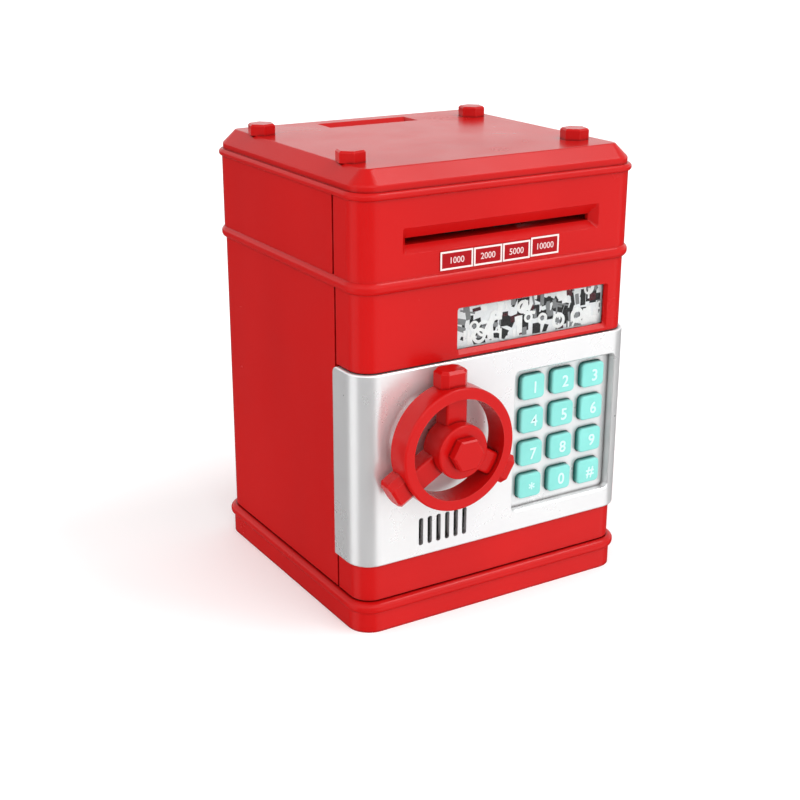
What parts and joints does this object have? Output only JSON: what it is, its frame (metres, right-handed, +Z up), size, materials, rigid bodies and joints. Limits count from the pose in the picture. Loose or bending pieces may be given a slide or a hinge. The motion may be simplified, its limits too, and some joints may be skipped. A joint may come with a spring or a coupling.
{
  "type": "toy cash-machine money box",
  "caption": "Toy safe money box with a hinged keypad door, handwheel latch, banknote feeder slot, coin slot and removable battery cover.",
  "frame": {"origin": "centre of the case's footprint, on the underside of the base tray", "axes": "+X to the right seen from the front, +Y from the door towards the back, +Z up"},
  "size_m": [0.134, 0.1485, 0.19],
  "materials": {
    "red_plastic": "glossy injection-moulded ABS",
    "steel": "zinc-plated steel",
    "clear_plastic": "clear moulded styrene",
    "printed_card": "printed card with an abstract pattern",
    "printed_label": "printed vinyl label with a white edge",
    "white_plastic": "natural white acetal",
    "soft_rubber": "soft rubber",
    "silver_plastic": "ABS with satin silver paint",
    "grey_plastic": "grey ABS with a fine moulded texture",
    "circuit_board": "green solder mask",
    "speaker_black": "black paper cone in a pressed basket",
    "battery_jacket": "plain shrink-wrapped cell with no print",
    "copper_wire": "enamelled copper winding",
    "mint_plastic": "moulded mint-green ABS"
  },
  "bodies": {
    "case": {"base_tray": "red_plastic", "base_screws": "steel", "rear_shell": "red_plastic", "front_shell": "red_plastic", "top_lid": "red_plastic", "lid_bolts": "red_plastic", "lid_bolt_screws": "steel", "window_lens": "clear_plastic", "window_card": "printed_card", "value_labels": "printed_label", "hinge_pins": "steel", "strike_plate": "steel", "strike_screws": "steel", "feeder_frame": "red_plastic", "feeder_screws": "steel", "feed_motor": "steel"},
    "door": {"door_panel": "silver_plastic", "door_cover": "grey_plastic", "door_screws": "steel", "key_membrane": "soft_rubber", "keypad_board": "circuit_board", "speaker": "speaker_black", "main_board": "circuit_board", "battery_holder": "grey_plastic", "batteries": "battery_jacket", "battery_contacts": "steel", "solenoid_frame": "steel", "solenoid_coil": "copper_wire", "lock_spring": "steel"},
    "wheel": {"handwheel": "red_plastic", "wheel_bolt": "red_plastic", "wheel_shaft": "steel", "lock_disc": "white_plastic", "latch_cam": "white_plastic", "cam_screw": "steel"},
    "lock_pin": {"lock_pin": "steel"},
    "battery_door": {"battery_door": "grey_plastic"},
    "feed_drive": {"drive_gear": "white_plastic", "drive_shaft": "steel", "drive_rollers": "soft_rubber"},
    "feed_pinion": {"motor_pinion": "white_plastic", "motor_shaft": "steel"},
    "feed_idler": {"idler_shaft": "steel", "idler_rollers": "soft_rubber"},
    "key_1": {"key_1": "mint_plastic"},
    "key_2": {"key_2": "mint_plastic"},
    "key_3": {"key_3": "mint_plastic"},
    "key_4": {"key_4": "mint_plastic"},
    "key_5": {"key_5": "mint_plastic"},
    "key_6": {"key_6": "mint_plastic"},
    "key_7": {"key_7": "mint_plastic"},
    "key_8": {"key_8": "mint_plastic"},
    "key_9": {"key_9": "mint_plastic"},
    "key_star": {"key_star": "mint_plastic"},
    "key_0": {"key_0": "mint_plastic"},
    "key_hash": {"key_hash": "mint_plastic"}
  },
  "joints": [
    {"name": "door_hinge", "type": "hinge", "parent": "case", "child": "door", "pos_m": [0.063, -0.046, 0.0689], "axis": [0, 0, 1], "range_deg": [0, 95]},
    {"name": "wheel_turn", "type": "hinge", "parent": "door", "child": "wheel", "pos_m": [-0.0295, -0.0628, 0.078], "axis": [0, -1, 0], "range_deg": [0, 90]},
    {"name": "lock_pin_slide", "type": "slide", "parent": "door", "child": "lock_pin", "axis": [0, 0, 1], "range_m": [0, 0.0015], "stiffness_N_per_m": 80, "springref_m": -0.003, "deforming": ["lock_spring"]},
    {"name": "battery_door_lift", "type": "slide", "parent": "door", "child": "battery_door", "axis": [0, 1, 0], "range_m": [0, 0.02]},
    {"name": "feed_drive_spin", "type": "hinge", "parent": "case", "child": "feed_drive", "pos_m": [0, -0.0434, 0.16325], "axis": [1, 0, 0], "continuous": true},
    {"name": "feed_pinion_spin", "type": "hinge", "parent": "case", "child": "feed_pinion", "pos_m": [0, -0.03128, 0.16325], "axis": [1, 0, 0], "continuous": true},
    {"name": "feed_idler_spin", "type": "hinge", "parent": "case", "child": "feed_idler", "pos_m": [0, -0.0434, 0.15345], "axis": [1, 0, 0], "continuous": true},
    {"name": "key_1_press", "type": "slide", "parent": "door", "child": "key_1", "axis": [0, 1, 0], "range_m": [0, 0.001], "stiffness_N_per_m": 400, "springref_m": -0.0005},
    {"name": "key_2_press", "type": "slide", "parent": "door", "child": "key_2", "axis": [0, 1, 0], "range_m": [0, 0.001], "stiffness_N_per_m": 400, "springref_m": -0.0005},
    {"name": "key_3_press", "type": "slide", "parent": "door", "child": "key_3", "axis": [0, 1, 0], "range_m": [0, 0.001], "stiffness_N_per_m": 400, "springref_m": -0.0005},
    {"name": "key_4_press", "type": "slide", "parent": "door", "child": "key_4", "axis": [0, 1, 0], "range_m": [0, 0.001], "stiffness_N_per_m": 400, "springref_m": -0.0005},
    {"name": "key_5_press", "type": "slide", "parent": "door", "child": "key_5", "axis": [0, 1, 0], "range_m": [0, 0.001], "stiffness_N_per_m": 400, "springref_m": -0.0005},
    {"name": "key_6_press", "type": "slide", "parent": "door", "child": "key_6", "axis": [0, 1, 0], "range_m": [0, 0.001], "stiffness_N_per_m": 400, "springref_m": -0.0005},
    {"name": "key_7_press", "type": "slide", "parent": "door", "child": "key_7", "axis": [0, 1, 0], "range_m": [0, 0.001], "stiffness_N_per_m": 400, "springref_m": -0.0005},
    {"name": "key_8_press", "type": "slide", "parent": "door", "child": "key_8", "axis": [0, 1, 0], "range_m": [0, 0.001], "stiffness_N_per_m": 400, "springref_m": -0.0005},
    {"name": "key_9_press", "type": "slide", "parent": "door", "child": "key_9", "axis": [0, 1, 0], "range_m": [0, 0.001], "stiffness_N_per_m": 400, "springref_m": -0.0005},
    {"name": "key_star_press", "type": "slide", "parent": "door", "child": "key_star", "axis": [0, 1, 0], "range_m": [0, 0.001], "stiffness_N_per_m": 400, "springref_m": -0.0005},
    {"name": "key_0_press", "type": "slide", "parent": "door", "child": "key_0", "axis": [0, 1, 0], "range_m": [0, 0.001], "stiffness_N_per_m": 400, "springref_m": -0.0005},
    {"name": "key_hash_press", "type": "slide", "parent": "door", "child": "key_hash", "axis": [0, 1, 0], "range_m": [0, 0.001], "stiffness_N_per_m": 400, "springref_m": -0.0005}
  ],
  "couplings": [
    {"joint": "feed_pinion_spin", "follows": "feed_drive_spin", "ratio": -3},
    {"joint": "feed_idler_spin", "follows": "feed_drive_spin", "ratio": -1.375}
  ]
}
